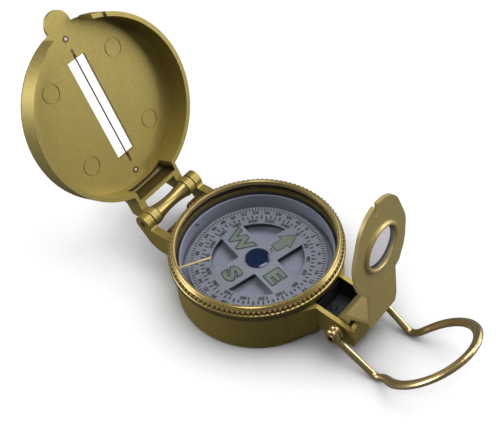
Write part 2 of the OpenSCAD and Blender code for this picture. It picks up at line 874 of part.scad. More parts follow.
module card_hub() {
    color("midnightblue") difference() {
        union() {
            translate([0, 0, card_top]) cylinder(h = hub_h * 0.6, r = hub_r, $fn = MID);
            translate([0, 0, card_top + hub_h * 0.6])
                cylinder(h = hub_h * 0.4, r1 = hub_r, r2 = hub_r - 0.5, $fn = MID);
            translate([0, 0, card_z - magnet_t])
                cylinder(h = magnet_t + card_t + 0.1, r = stem_r, $fn = MID);
        }
        translate([0, 0, card_z - magnet_t - CUT])
            cylinder(h = jewel_z + jewel_h - card_z + magnet_t + CUT, r = jewel_r + tight_gap, $fn = SMALL);
    }
}

module jewel_bearing() {
    color("crimson")
        difference() {
            translate([0, 0, jewel_z]) cylinder(h = jewel_h, r = jewel_r, $fn = SMALL);
            translate([0, 0, jewel_z - 0.01])
                cylinder(h = cup_d + 0.01, r1 = jewel_r * 0.8, r2 = 0.1, $fn = SMALL);
        }
}

module magnet_bar() {
    color("slategray") to_north()
        translate([0, 0, card_z - magnet_t])
            linear_extrude(height = magnet_t)
                difference() {
                    square([magnet_l, magnet_w], center = true);
                    circle(r = stem_r + tight_gap, $fn = MID);
                }
}

module north_arrow() {
    head_l = (arrow_tip - arrow_tail) * 0.53;
    shaft_half = arrow_half / 2;
    color("palegreen") to_north()
        translate([0, 0, card_top])
            linear_extrude(height = print_t)
                polygon([[arrow_tail, shaft_half], [arrow_tip - head_l, shaft_half],
                    [arrow_tip - head_l, arrow_half], [arrow_tip, 0], [arrow_tip - head_l, -arrow_half],
                    [arrow_tip - head_l, -shaft_half], [arrow_tail, -shaft_half]]);
}

module card_ticks() {
    tick_l = 1.1;
    tick_w = 0.24;
    color("dimgray") to_north()
        for (i = [0:tick_count - 1])
            rotate([0, 0, i * 360 / tick_count])
                translate([card_r - 0.4 - tick_l, -tick_w / 2, card_top])
                    cube([tick_l, tick_w, print_t]);
}

// Outline of the upright bracket plate, as seen from in front
module plate_outline() {
    top_up = head_mid + head_rise;
    lean = asin((head_half - head_top_r) / head_rise);
    translate([0, head_mid]) circle(r = head_half, $fn = FINE);
    translate([0, top_up]) circle(r = head_top_r, $fn = FINE);
    polygon([
        [-head_top_r * cos(lean), top_up + head_top_r * sin(lean)],
        [-head_half * cos(lean), head_mid + head_half * sin(lean)],
        [-head_half + 0.2, shoulder_up[0]], [-head_half + 0.5, shoulder_up[1]],
        [-head_half + 1.4, shoulder_up[2]], [-neck_w / 2 - neck_flare, neck_top_up + 0.9],
        [-neck_w / 2, neck_top_up], [-neck_w / 2, plate_low], [neck_w / 2 - 0.8, plate_low],
        [neck_w / 2, plate_low + 2.6], [neck_w / 2, neck_top_up],
        [neck_w / 2 + neck_flare, neck_top_up + 0.9], [head_half - 1.4, shoulder_up[2]],
        [head_half - 0.5, shoulder_up[1]], [head_half - 0.2, shoulder_up[0]],
        [head_half * cos(lean), head_mid + head_half * sin(lean)],
        [head_top_r * cos(lean), top_up + head_top_r * sin(lean)]
    ]);
}

module lens_bracket() {
    front = -plate_off - plate_t;
    plate_up = head_mid + head_rise + head_top_r;
    color("darkkhaki") at_rear_pin()
        difference() {
            union() {
                translate([0, -plate_off, 0])
                    rotate([90, 0, 0])
                        linear_extrude(height = plate_t)
                            difference() {
                                plate_outline();
                                translate([-notch_left - notch_w / 2, plate_up - notch_d])
                                    square([notch_w, notch_d + 2]);
                            }
                side_profile([
                    [1.2, 2], [-1.8, 5.9], [-plate_off, plate_low + 0.9], [-plate_off - CUT, plate_low + 0.9],
                    [-plate_off - CUT, plate_low], [-plate_off, plate_low], [-3.2, 4.6], [-2.1, 1]
                ], -web_half, web_half);
                along_x(-web_half, web_half, barrel_r, 0, 0);
                translate([0, front, lens_up])
                    rotate([90, 0, 0])
                        rotate_extrude($fn = MID)
                            polygon([
                                [lens_hole_r, -CUT], [lens_hole_r, lip_rise - 0.25],
                                [lens_hole_r + 0.3, lip_rise], [lens_hole_r + lens_lip_w - 0.45, lip_rise],
                                [lens_hole_r + lens_lip_w, 0.3], [lens_hole_r + lens_lip_w, -CUT]
                            ]);
            }
            along_x(-web_half - CUT, web_half + CUT, rear_pin_r + run_gap, 0, 0);
            translate([0, front + CUT, lens_up])
                rotate([90, 0, 0])
                    cylinder(h = 3, r = lens_hole_r, $fn = MID);
            translate([0, -plate_off + CUT, lens_up])
                rotate([90, 0, 0])
                    cylinder(h = lens_seat + CUT, r = lens_r + tight_gap, $fn = MID);
        }
}

// Lens with one flat face and one domed face, seated from behind the plate
module magnifier_lens() {
    seat_y = -plate_off - lens_seat;
    steps = 8;
    dome_r = (lens_hole_r * lens_hole_r + lens_crown * lens_crown) / (2 * lens_crown);
    dome_a = asin(lens_hole_r / dome_r);
    color("azure", 0.35) at_rear_pin()
        translate([0, seat_y, lens_up])
            rotate([90, 0, 0])
                rotate_extrude($fn = MID)
                    polygon(concat(
                        [[0, -lens_edge], [lens_r, -lens_edge], [lens_r, 0], [lens_hole_r - 0.1, 0]],
                        [for (i = [0:steps])
                            let (a = dome_a * (1 - i / steps))
                            [(dome_r * sin(a)) * (1 - 0.1 / lens_hole_r),
                                0.4 + dome_r * cos(a) - dome_r + lens_crown]]
                    ));
}

module lens_circlip() {
    clip_t = lens_seat - lens_edge - 0.05;
    color("dimgray") at_rear_pin()
        translate([0, -plate_off - 0.05, lens_up])
            rotate([90, 0, 0])
                rotate_extrude($fn = MID)
                    translate([lens_r - 0.75, 0])
                        square([0.75, clip_t]);
}

// The loop's route. Each point is [x, outward, up, pitch]: outward and up are counted
// from the pin, and the pitch is the rise of the loop's plane there
function arm_point(x, along) = [x, along * cos(arm_drop), -along * sin(arm_drop), -arm_drop];
function kink_out() = loop_arm * cos(arm_drop);
function kink_up() = -loop_arm * sin(arm_drop);
function outer_point(x, along) =
    [x, kink_out() + along * cos(loop_rise), kink_up() + along * sin(loop_rise), loop_rise];
function oval_low() = oval_mid + oval_tall * sin(oval_from);
function oval_start() = loop_half * cos(oval_from);
function kink_x() = arm_x - 0.5;
function bend_point(t) =
    let (a = arm_point(kink_x(), loop_arm - bend_cut), b = outer_point(kink_x(), bend_cut),
        c = [kink_x(), kink_out(), kink_up()])
    [for (i = [0:2]) (1 - t) * (1 - t) * a[i] + 2 * t * (1 - t) * c[i] + t * t * b[i]];
function bend_pitch(t) = -arm_drop + (loop_rise + arm_drop) * t;
function half_route() = concat(
    [arm_point(arm_x, eye_r - turn_r + 0.1), arm_point(arm_x - 0.2, loop_arm * 0.45)],
    [for (i = [0:7]) let (t = i / 7, p = bend_point(t)) [p[0], p[1], p[2], bend_pitch(t)]],
    [outer_point(kink_x() + (oval_start() - kink_x()) * 0.3, bend_cut + (oval_low() - bend_cut) * 0.5)],
    [for (i = [0:LOOP_STEPS - 1]) let (a = oval_from + (90 - oval_from) * i / LOOP_STEPS)
        outer_point(loop_half * cos(a), oval_mid + oval_tall * sin(a))]
);
function mirrored(route) = [
    for (i = [len(route) - 1:-1:0])
        let (p = route[i])
        [-p[0], p[1], p[2], p[3]]
];
function full_route() = concat(half_route(), [outer_point(0, loop_reach)], mirrored(half_route()));
function place(p) = [p[0], -rear_y - p[1], rear_z + p[2]];
function unit(v) = v / norm(v);

// The wire's width over its thickness, which grows past the bend
function press_at(p) =
    let (past = p[1] - kink_out(), share = min(1, max(0, past / press_from)))
    1 + (loop_press - 1) * share;

// Corners of the wire's section at each point of the route
function wire_corners(route) = [
    for (i = [0:len(route) - 1])
        let (before = place(route[max(i - 1, 0)]), after = place(route[min(i + 1, len(route) - 1)]),
            tangent = unit(after - before), pitch = route[i][3], normal = [0, sin(pitch), cos(pitch)],
            side = unit(cross(tangent, normal)), up = cross(side, tangent))
        for (k = [0:LOOP_SIDES - 1])
            let (a = 360 * k / LOOP_SIDES)
            place(route[i]) + loop_wire_r * (cos(a) * up + press_at(route[i]) * sin(a) * side)
];

module loop_wire() {
    route = full_route();
    rings = len(route);
    n = LOOP_SIDES;
    polyhedron(
        points = wire_corners(route),
        faces = concat(
            [[for (k = [0:n - 1]) k]],
            [for (i = [0:rings - 2], k = [0:n - 1])
                let (a = i * n + k, b = i * n + (k + 1) % n)
                [b, a, a + n]],
            [for (i = [0:rings - 2], k = [0:n - 1])
                let (a = i * n + k, b = i * n + (k + 1) % n)
                [b, a + n, b + n]],
            [[for (k = [n - 1:-1:0]) (rings - 1) * n + k]]
        )
    );
}

// One eye: two turns of the wire, pressed flat against the pin
module loop_eye() {
    bore = rear_pin_r + run_gap;
    rotate_extrude($fn = MID) {
        for (turn = [0, 1])
            polygon([for (i = [0:15])
                let (a = 22.5 * i)
                [max(bore, eye_r - turn_r + turn_r * cos(a)), turn_r * (1 + 2 * turn + sin(a))]]);
        translate([bore, turn_r * 0.1]) square([eye_r - turn_r - bore, eye_t - turn_r * 0.2]);
    }
}

module thumb_loop() {
    color("darkgoldenrod") {
        both_sides()
            translate([eye_in, -rear_y, rear_z])
                rotate([0, 90, 0])
                    loop_eye();
        loop_wire();
    }
}

case();
hinge_pin();
click_spring();
click_screws();
bezel_snap_ring();
bezel_thrust_ring();
capsule();
capsule_gasket();
pivot_seat();
pivot_pin();
bracket_leaf();
leaf_rivet();
rear_pin();
cover();
hinge_spool();
sighting_wire();
wire_clamps();
luminous_dots();
dot_cups();
bezel_ring();
crystal();
crystal_retainer();
index_line();
index_dot();
compass_card();
card_hub();
jewel_bearing();
magnet_bar();
north_arrow();
card_ticks();
lens_bracket();
magnifier_lens();
lens_circlip();
thumb_loop();
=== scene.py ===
import bmesh
import bpy
import json
import math
from mathutils import Matrix, Vector


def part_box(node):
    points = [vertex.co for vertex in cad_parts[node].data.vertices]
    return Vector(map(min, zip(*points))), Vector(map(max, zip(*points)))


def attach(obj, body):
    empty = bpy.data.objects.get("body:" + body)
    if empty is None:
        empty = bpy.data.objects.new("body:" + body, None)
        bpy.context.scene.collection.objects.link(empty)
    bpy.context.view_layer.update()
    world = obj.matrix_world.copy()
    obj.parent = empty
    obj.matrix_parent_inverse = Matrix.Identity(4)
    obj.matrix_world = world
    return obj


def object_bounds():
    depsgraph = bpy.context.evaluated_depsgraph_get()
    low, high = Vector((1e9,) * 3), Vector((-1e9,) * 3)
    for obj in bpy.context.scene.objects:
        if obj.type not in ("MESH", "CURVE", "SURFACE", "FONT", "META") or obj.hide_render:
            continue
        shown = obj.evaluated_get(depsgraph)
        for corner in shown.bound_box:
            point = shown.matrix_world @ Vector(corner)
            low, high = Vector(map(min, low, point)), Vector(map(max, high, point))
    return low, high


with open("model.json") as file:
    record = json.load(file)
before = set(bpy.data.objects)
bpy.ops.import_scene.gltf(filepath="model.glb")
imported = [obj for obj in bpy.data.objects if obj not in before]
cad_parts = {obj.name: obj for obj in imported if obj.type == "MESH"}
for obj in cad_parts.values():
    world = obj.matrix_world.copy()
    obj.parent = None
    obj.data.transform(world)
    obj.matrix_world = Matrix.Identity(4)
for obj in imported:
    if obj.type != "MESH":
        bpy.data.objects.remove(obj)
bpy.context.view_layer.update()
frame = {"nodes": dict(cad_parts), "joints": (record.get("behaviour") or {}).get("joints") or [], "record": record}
nodes = frame["nodes"]
joints = {joint["name"]: joint for joint in frame["joints"]}
MM = 0.001
WHITE = (1, 1, 1)


# Steps of a node tree that several finishes share

MIX_SHARE, MIX_UNDER, MIX_OVER, MIX_RESULT = 0, 6, 7, 2  # the colour sockets of a Mix node
NOISE_LOW, NOISE_HIGH = 0.3, 0.7  # nearly all noise lies between these values


def new_material(name):
    """A new material with its tree and its main shader."""
    material = bpy.data.materials.new(name)
    material.use_nodes = True
    return material, material.node_tree, material.node_tree.nodes["Principled BSDF"]


def own_place(tree):
    """A point's place in the piece's own coordinates."""
    return tree.nodes.new("ShaderNodeTexCoord").outputs["Object"]


def axes_of(tree, place):
    """The three coordinates of a place."""
    split = tree.nodes.new("ShaderNodeSeparateXYZ")
    tree.links.new(place, split.inputs["Vector"])
    return [split.outputs[axis] for axis in "XYZ"]


def math_step(tree, operation, first, second):
    """One step of arithmetic, on sockets or plain numbers."""
    step = tree.nodes.new("ShaderNodeMath")
    step.operation = operation
    for socket, value in zip(step.inputs, (first, second)):
        if isinstance(value, (int, float)):
            socket.default_value = value
        else:
            tree.links.new(value, socket)
    return step.outputs["Value"]


def plain_shader(tree, kind, color):
    """A shader node of one colour."""
    node = tree.nodes.new(kind)
    node.inputs["Color"].default_value = (*color, 1)
    return node


def mix_shaders(tree, share, first, second):
    """The first shader, with the second in its place by the given share."""
    mix = tree.nodes.new("ShaderNodeMixShader")
    if isinstance(share, float):
        mix.inputs["Fac"].default_value = share
    else:
        tree.links.new(share, mix.inputs["Fac"])
    tree.links.new(first, mix.inputs[1])
    tree.links.new(second, mix.inputs[2])
    return mix.outputs["Shader"]


def noise(tree, scale, detail):
    """A noise texture in the piece's own coordinates."""
    texture = tree.nodes.new("ShaderNodeTexNoise")
    texture.inputs["Scale"].default_value = scale
    texture.inputs["Detail"].default_value = detail
    tree.links.new(own_place(tree), texture.inputs["Vector"])
    return texture.outputs["Fac"]


def vary_color(tree, shader, fac, dark, light):
    """Lets the noise move the base colour between two tones."""
    ramp = tree.nodes.new("ShaderNodeValToRGB")
    low_end, high_end = ramp.color_ramp.elements
    low_end.position = NOISE_LOW
    low_end.color = (*dark, 1)
    high_end.position = NOISE_HIGH
    high_end.color = (*light, 1)
    tree.links.new(fac, ramp.inputs["Fac"])
    tree.links.new(ramp.outputs["Color"], shader.inputs["Base Color"])


def map_range(tree, value, given, wanted):
    """Turns a value from the given range into the wanted one."""
    spread = tree.nodes.new("ShaderNodeMapRange")
    spread.inputs["From Min"].default_value = given[0]
    spread.inputs["From Max"].default_value = given[1]
    spread.inputs["To Min"].default_value = wanted[0]
    spread.inputs["To Max"].default_value = wanted[1]
    tree.links.new(value, spread.inputs["Value"])
    return spread.outputs["Result"]


def vary_roughness(tree, shader, fac, wanted):
    """Lets the noise move the gloss within a range."""
    rough = map_range(tree, fac, (NOISE_LOW, NOISE_HIGH), wanted)
    tree.links.new(rough, shader.inputs["Roughness"])


# Finishes

METAL_GRAIN = 900.0
TONE_GRAIN, GLOSS_GRAIN, BUMP_GRAIN = METAL_GRAIN * 0.9, METAL_GRAIN * 1.6, METAL_GRAIN * 3.0
FINE_DETAIL, PLAIN_DETAIL, COARSE_DETAIL = 5.0, 3.0, 2.0
BUMP_DEPTH = 0.05 * MM
PLASTIC_TONE_GRAIN, PLASTIC_GLOSS_GRAIN = 400.0, 900.0
PLASTIC_GLOSS_SPREAD = 0.08
GLASS_ROUGHNESS = 0.03
GLASS_VEIL = (0.6, 0.62, 0.66)


def metal(name, dark, light, metallic, rough, bump=0.0):
    """Metal or metallic paint with a slightly uneven tone and gloss."""
    material, tree, shader = new_material(name)
    shader.inputs["Metallic"].default_value = metallic
    vary_color(tree, shader, noise(tree, TONE_GRAIN, FINE_DETAIL), dark, light)
    vary_roughness(tree, shader, noise(tree, GLOSS_GRAIN, PLAIN_DETAIL), rough)
    if bump:
        relief = tree.nodes.new("ShaderNodeBump")
        relief.inputs["Strength"].default_value = bump
        relief.inputs["Distance"].default_value = BUMP_DEPTH
        tree.links.new(noise(tree, BUMP_GRAIN, COARSE_DETAIL), relief.inputs["Height"])
        tree.links.new(relief.outputs["Normal"], shader.inputs["Normal"])
    return material


def plastic(name, dark, light, rough, coat=0.0):
    """Plastic, rubber, paint or print, with a clear coat where it is glossy."""
    material, tree, shader = new_material(name)
    vary_color(tree, shader, noise(tree, PLASTIC_TONE_GRAIN, PLAIN_DETAIL), dark, light)
    gloss = noise(tree, PLASTIC_GLOSS_GRAIN, PLAIN_DETAIL)
    vary_roughness(tree, shader, gloss, (rough, rough + PLASTIC_GLOSS_SPREAD))
    shader.inputs["Coat Weight"].default_value = coat
    return material


def clear(name, tint, veil=0.0, ior=1.33):
    """Clear window: light passes straight through it, and its outer faces still mirror."""
    material, tree, shader = new_material(name)
    tree.nodes.remove(shader)
    through = plain_shader(tree, "ShaderNodeBsdfTransparent", tint)
    mirror = plain_shader(tree, "ShaderNodeBsdfGlossy", WHITE)
    mirror.inputs["Roughness"].default_value = GLASS_ROUGHNESS
    edge = tree.nodes.new("ShaderNodeFresnel")
    edge.inputs["IOR"].default_value = ior
    side = tree.nodes.new("ShaderNodeNewGeometry")
    front = math_step(tree, "SUBTRACT", 1.0, side.outputs["Backfacing"])
    share = math_step(tree, "MULTIPLY", edge.outputs["Fac"], front)
    result = mix_shaders(tree, share, through.outputs["BSDF"], mirror.outputs["BSDF"])
    if veil:
        dust = plain_shader(tree, "ShaderNodeBsdfDiffuse", GLASS_VEIL)
        result = mix_shaders(tree, veil, result, dust.outputs["BSDF"])
    tree.links.new(result, tree.nodes["Material Output"].inputs["Surface"])
    return material


# Each metal: its dark and light tone, metallic share, range of roughness and strength of the bump
METALS = {
    "case_paint": ((0.25, 0.186, 0.040), (0.285, 0.214, 0.051), 0.6, (0.40, 0.46), 0.20),
    "spool_paint": ((0.265, 0.20, 0.065), (0.30, 0.225, 0.075), 0.8, (0.30, 0.34)),
    "bracket_paint": ((0.37, 0.29, 0.105), (0.42, 0.335, 0.13), 0.5, (0.40, 0.46), 0.22),
    "cover_paint": ((0.272, 0.214, 0.058), (0.307, 0.244, 0.07), 0.65, (0.42, 0.48), 0.26),
    "bezel_gold": ((0.30, 0.225, 0.078), (0.34, 0.26, 0.094), 0.62, (0.27, 0.30)),
    "polished_gold": ((0.465, 0.36, 0.17), (0.505, 0.395, 0.195), 0.9, (0.28, 0.31)),
    "pin_gold": ((0.36, 0.25, 0.10), (0.42, 0.30, 0.13), 0.9, (0.30, 0.34)),
    "steel_pin": ((0.16, 0.15, 0.14), (0.22, 0.21, 0.20), 1.0, (0.30, 0.36)),
    "spring_steel": ((0.012, 0.013, 0.016), (0.02, 0.022, 0.026), 0.6, (0.4, 0.5)),
    "bronze": ((0.16, 0.055, 0.022), (0.26, 0.10, 0.045), 0.85, (0.28, 0.42)),
    "copper_wire": ((0.095, 0.045, 0.02), (0.14, 0.07, 0.03), 0.6, (0.35, 0.45)),
    "brass_seat": ((0.45, 0.32, 0.12), (0.52, 0.38, 0.15), 1.0, (0.25, 0.35)),
    "magnet_grey": ((0.10, 0.10, 0.11), (0.15, 0.15, 0.16), 0.7, (0.45, 0.6)),
}

# Each plastic, rubber or print: its dark and light tone, lowest roughness and clear coat
PLASTICS = {
    "dark_plastic": ((0.012, 0.012, 0.012), (0.02, 0.02, 0.02), 0.5),
    "black_rubber": ((0.006, 0.006, 0.008), (0.012, 0.012, 0.014), 0.6),
    "black_mark": ((0.015, 0.015, 0.014), (0.025, 0.024, 0.023), 0.6),
    "letter_edge": ((0.035, 0.04, 0.03), (0.055, 0.062, 0.046), 0.6),
    "capsule_grey": ((0.27, 0.275, 0.31), (0.30, 0.305, 0.34), 0.45),
    "card_grey": ((0.205, 0.21, 0.222), (0.222, 0.227, 0.24), 0.5),
    "luminous_green": ((0.135, 0.17, 0.118), (0.155, 0.195, 0.135), 0.6),
    "luminous_white": ((0.42, 0.41, 0.37), (0.50, 0.49, 0.44), 0.4, 0.3),
    "luminous_yellow": ((0.31, 0.25, 0.10), (0.35, 0.285, 0.12), 0.5),
    "hub_blue": ((0.006, 0.011, 0.035), (0.010, 0.018, 0.05), 0.12, 0.5),
    "jewel_red": ((0.30, 0.01, 0.02), (0.40, 0.02, 0.03), 0.1, 0.5),
}

# Each clear piece: its tint, share of dust and index of refraction
WINDOWS = {
    "clear_window": ((0.93, 0.94, 0.97),),
    # The lens's grey tint is painted shade: it darkens the lens to the grey of the floor's shadow seen through it
    "lens_glass": ((0.735, 0.72, 0.725), 0.10, 1.03),
}

MATERIALS = {}
for make, rows in ((metal, METALS), (plastic, PLASTICS), (clear, WINDOWS)):
    for name, row in rows.items():
        MATERIALS[name] = make(name, *row)


# Places on a painted piece with painted shade, darker than the rest of it

def overpaint(material, mask, color):
    """Puts another base colour over a material where the mask is 1."""
    tree = material.node_tree
    shader = tree.nodes["Principled BSDF"]
    mix = tree.nodes.new("ShaderNodeMix")
    mix.data_type = "RGBA"
    mix.inputs[MIX_OVER].default_value = (*color, 1)
    tree.links.new(mask, mix.inputs[MIX_SHARE])
    tree.links.new(shader.inputs["Base Color"].links[0].from_socket, mix.inputs[MIX_UNDER])
    tree.links.new(mix.outputs[MIX_RESULT], shader.inputs["Base Color"])


def paint_box(name, low, high, color, folded=None):
    """Paints what lies in a box in the piece's own coordinates, or in those it has when folded shut."""
    tree = MATERIALS[name].node_tree
    place = own_place(tree)
    if folded:
        fold = tree.nodes.new("ShaderNodeVectorRotate")
        fold.rotation_type = "X_AXIS"
        fold.inputs["Center"].default_value = folded["pos_m"]
        fold.inputs["Angle"].default_value = math.radians(folded["range_deg"][1])
        tree.links.new(place, fold.inputs["Vector"])
        place = fold.outputs["Vector"]
    middle = (Vector(low) + Vector(high)) / 2
    half = (Vector(high) - Vector(low)) / 2
    for operation, amount in (("SUBTRACT", middle), ("ABSOLUTE", None), ("DIVIDE", half)):
        step = tree.nodes.new("ShaderNodeVectorMath")
        step.operation = operation
        if amount:
            step.inputs[1].default_value = amount
        tree.links.new(place, step.inputs[0])
        place = step.outputs["Vector"]
    x, y, z = axes_of(tree, place)
    farthest = math_step(tree, "MAXIMUM", math_step(tree, "MAXIMUM", x, y), z)
    overpaint(MATERIALS[name], math_step(tree, "LESS_THAN", farthest, 1.0), color)


def paint_between_teeth(name, count, tooth_share, low_z, high_z, root_r, color):
    """Paints the gaps of a toothed band, counted round the piece's own Z axis."""
    tree = MATERIALS[name].node_tree
    x, y, z = axes_of(tree, own_place(tree))
    turns = math_step(tree, "MULTIPLY", math_step(tree, "ARCTAN2", y, x), count / math.tau)
    off_tooth = math_step(tree, "PINGPONG", turns, 0.5)
    gap = math_step(tree, "GREATER_THAN", off_tooth, tooth_share / 2)
    squares = math_step(
        tree, "ADD", math_step(tree, "MULTIPLY", x, x), math_step(tree, "MULTIPLY", y, y)
    )
    outside = math_step(tree, "GREATER_THAN", squares, root_r * root_r)
    above = math_step(tree, "GREATER_THAN", z, low_z)
    below = math_step(tree, "LESS_THAN", z, high_z)
    ring = math_step(tree, "MULTIPLY", gap, outside)
    band = math_step(tree, "MULTIPLY", above, below)
    overpaint(MATERIALS[name], math_step(tree, "MULTIPLY", ring, band), color)


# Painted shade in the gaps between the bezel's teeth
TOOTH_COUNT, TOOTH_SHARE = 108, 0.56
TOOTH_LOW, TOOTH_HIGH, TOOTH_ROOT_R = 16.3 * MM, 17.62 * MM, 24.85 * MM
TOOTH_GAP_SHADE = (0.13, 0.07, 0.02)
paint_between_teeth(
    "bezel_gold", TOOTH_COUNT, TOOTH_SHARE, TOOTH_LOW, TOOTH_HIGH, TOOTH_ROOT_R, TOOTH_GAP_SHADE
)

# Painted shade on the bezel's lower flange, which is darker than its polished top
FLANGE_REACH, FLANGE_LOW, FLANGE_HIGH = 27 * MM, 13.9 * MM, 16.12 * MM
FLANGE_SHADE = (0.11, 0.083, 0.024)
paint_box(
    "bezel_gold", (-FLANGE_REACH, -FLANGE_REACH, FLANGE_LOW), (FLANGE_REACH, FLANGE_REACH, FLANGE_HIGH),
    FLANGE_SHADE
)

# Painted shade: the inside of the fork's well is near-black, from its floor up to the rails' top
WELL_LOW = (-5.63 * MM, -37.33 * MM, 6.3 * MM)
WELL_HIGH = (5.63 * MM, -23.9 * MM, 13.9 * MM)
WELL_SHADE = (0.012, 0.013, 0.014)
paint_box("case_paint", WELL_LOW, WELL_HIGH, WELL_SHADE)

# Painted shade inside the pocket at the cover's hinge. Its box is where the pocket is on a shut cover
POCKET_LOW = (-7.95 * MM, 26.2 * MM, 16.5 * MM)
POCKET_HIGH = (7.95 * MM, 27.95 * MM, 23.75 * MM)
POCKET_SHADE = (0.085, 0.062, 0.018)
paint_box("cover_paint", POCKET_LOW, POCKET_HIGH, POCKET_SHADE, joints["cover_hinge"])

# Painted shade inside the hollows at the ends of the bracket's pin
HOLLOW_R, PIN_REACH = 0.7 * MM, 20 * MM
HOLLOW_SHADE = (0.02, 0.012, 0.006)
pin_middle = Vector(joints["bracket_hinge"]["pos_m"])
hollow_half = Vector((PIN_REACH, HOLLOW_R, HOLLOW_R))
paint_box("pin_gold", pin_middle - hollow_half, pin_middle + hollow_half, HOLLOW_SHADE)


# Finishes and edges of the CAD pieces

NODE_MATERIALS = {
    "cover": "cover_paint", "hinge_spool": "spool_paint", "magnifier_lens": "lens_glass",
    "rear_pin": "pin_gold",
}
SMOOTH_ANGLE, SOFT_ANGLE = math.radians(34), math.radians(32)
SOFT_SEGMENTS = 3
LARGE_FACE_WEIGHT = 70
ROUND_PIECES = ("thumb_loop", "hinge_spool", "rear_pin", "bezel_ring")
SOFT_EDGES = {
    "case": 0.14 * MM, "cover": 0.16 * MM, "lens_bracket": 0.14 * MM, "click_spring": 0.06 * MM,
}


def paint(obj, name):
    """Gives a piece one of the finishes."""
    obj.data.materials.clear()
    obj.data.materials.append(MATERIALS[name])


def smooth_faces(obj):
    """Smooth shading with the hard edges kept."""
    mesh = obj.data
    for face in mesh.polygons:
        face.use_smooth = True
    work = bmesh.new()
    work.from_mesh(mesh)
    for edge in work.edges:
        if len(edge.link_faces) == 2 and edge.calc_face_angle(0) > SMOOTH_ANGLE:
            edge.smooth = False
    work.to_mesh(mesh)
    work.free()


def even_normals(obj):
    """Lets the large faces of a turned or bent piece lead its shading."""
    weighted = obj.modifiers.new("normals", "WEIGHTED_NORMAL")
    weighted.keep_sharp = True
    weighted.weight = LARGE_FACE_WEIGHT


def soften_edges(obj, width):
    """Small rounded edges on a cast or pressed piece."""
    bevel = obj.modifiers.new("edges", "BEVEL")
    bevel.width = width
    bevel.segments = SOFT_SEGMENTS
    bevel.limit_method = "ANGLE"
    bevel.angle_limit = SOFT_ANGLE
    bevel.use_clamp_overlap = True


for row in frame["record"]["subparts"]:
    paint(nodes[row["node"]], NODE_MATERIALS.get(row["node"], row["material_slot"]))
for obj in nodes.values():
    smooth_faces(obj)
for name in ROUND_PIECES:
    even_normals(nodes[name])
for name, width in SOFT_EDGES.items():
    soften_edges(nodes[name], width)


# Print on the dial card. Its own plan has north along +Y and is turned with the card

CARD_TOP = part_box("compass_card")[1].z
NORTH_FROM_X = -16.4  # degrees from +X to the card's north, as the card lies in the photo
card_turn = Matrix.Rotation(math.radians(NORTH_FROM_X - 90), 4, "Z")
PRINT_THICK, LETTER_THICK, TICK_THICK, BORDER_THICK = 0.04 * MM, 0.05 * MM, 0.05 * MM, 0.06 * MM
TEXT_ROUNDNESS = 3

# The big letters: degrees from north, radius in millimetres and how wide each is drawn
LETTERS = {"W": (270, 8.9, 1.16), "E": (90, 8.7, 1.30), "S": (180, 9.1, 1.34)}
LETTER_SIZE = 6.7 * MM
EDGE_SPREAD, EDGE_HEIGHT = 0.58 * MM, 0.03 * MM
FACE_SPREAD, FACE_HEIGHT = 0.20 * MM, 0.07 * MM

# The outline of the north arrow, a CAD piece, and the border round it
ARROW_FOOT, ARROW_TIP, ARROW_HEAD = 6.2 * MM, 14.15 * MM, 4.2 * MM
ARROW_HALF, SHAFT_HALF = 2.7 * MM, 1.35 * MM
BORDER = 0.28 * MM
BARB_BORDER, TIP_BORDER = 1.7, 1.6  # shares of the border at the sharp corners, where it runs out further

# The two scales: places round the card, start radius, lengths at even and odd places, half width
DEGREE_TICKS = (72, 15.75 * MM, 1.25 * MM, 0.9 * MM, 0.21 * MM)
MIL_TICKS = (128, 19.0 * MM, 0, 0.9 * MM, 0.16 * MM)

# Their numbers: count in a full turn, step, radius, size and how wide each is drawn
DEGREE_NUMBERS = (360, 20, 14.85 * MM, 1.6 * MM, 1.25)
MIL_NUMBERS = (64, 2, 18.15 * MM, 1.5 * MM, 1.15)
NUMBER_SPREAD, NUMBER_HEIGHT = 0.06 * MM, 0.03 * MM
NORTH_SIZE, NORTH_R = 1.9 * MM, 5.05 * MM


def finish_piece(obj, material, body):
    """Paints a new piece and hangs it on the empty of the body it rides on."""
    paint(obj, material)
    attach(obj, body)


def mesh_object(name, work):
    """Stores a finished bmesh as a new object at the origin."""
    mesh = bpy.data.meshes.new(name)
    work.to_mesh(mesh)
    work.free()
    obj = bpy.data.objects.new(name, mesh)
    bpy.context.scene.collection.objects.link(obj)
    return obj


def text_mesh(text, size, thickness, spread):
    """The mesh of a short text, lying flat at the origin."""
    curve = bpy.data.curves.new("text", "FONT")
    curve.body = text
    curve.size = size
    curve.align_x = "CENTER"
    curve.align_y = "CENTER"
    curve.offset = spread
    curve.extrude = thickness / 2
    curve.resolution_u = TEXT_ROUNDNESS
    holder = bpy.data.objects.new("text", curve)
    bpy.context.scene.collection.objects.link(holder)
    bpy.context.view_layer.update()
    mesh = bpy.data.meshes.new_from_object(holder.evaluated_get(bpy.context.evaluated_depsgraph_get()))
    bpy.data.objects.remove(holder)
    return mesh


def add_text(work, text, size, place, thickness=PRINT_THICK, wide=1.0, spread=0.0):
    """Adds a text whose middle is at the given place."""
    mesh = text_mesh(text, size, thickness, spread)
    low = [min(v.co[i] for v in mesh.vertices) for i in (0, 1)]
    high = [max(v.co[i] for v in mesh.vertices) for i in (0, 1)]
    centred = Matrix.Translation((-(low[0] + high[0]) / 2, -(low[1] + high[1]) / 2, 0))
    mesh.transform(place @ Matrix.Diagonal((wide, 1, 1, 1)) @ centred)
    work.from_mesh(mesh)
    bpy.data.meshes.remove(mesh)


def around(angle_from_north, radius, height, upright=False):
    """A place above the card's face, its own top turned outwards unless it stays upright."""
    turn = Matrix.Rotation(math.radians(-angle_from_north), 4, "Z")
    place = card_turn @ turn @ Matrix.Translation((0, radius, CARD_TOP + height))
    if upright:
        place = place @ Matrix.Rotation(math.radians(angle_from_north), 4, "Z")
    return place


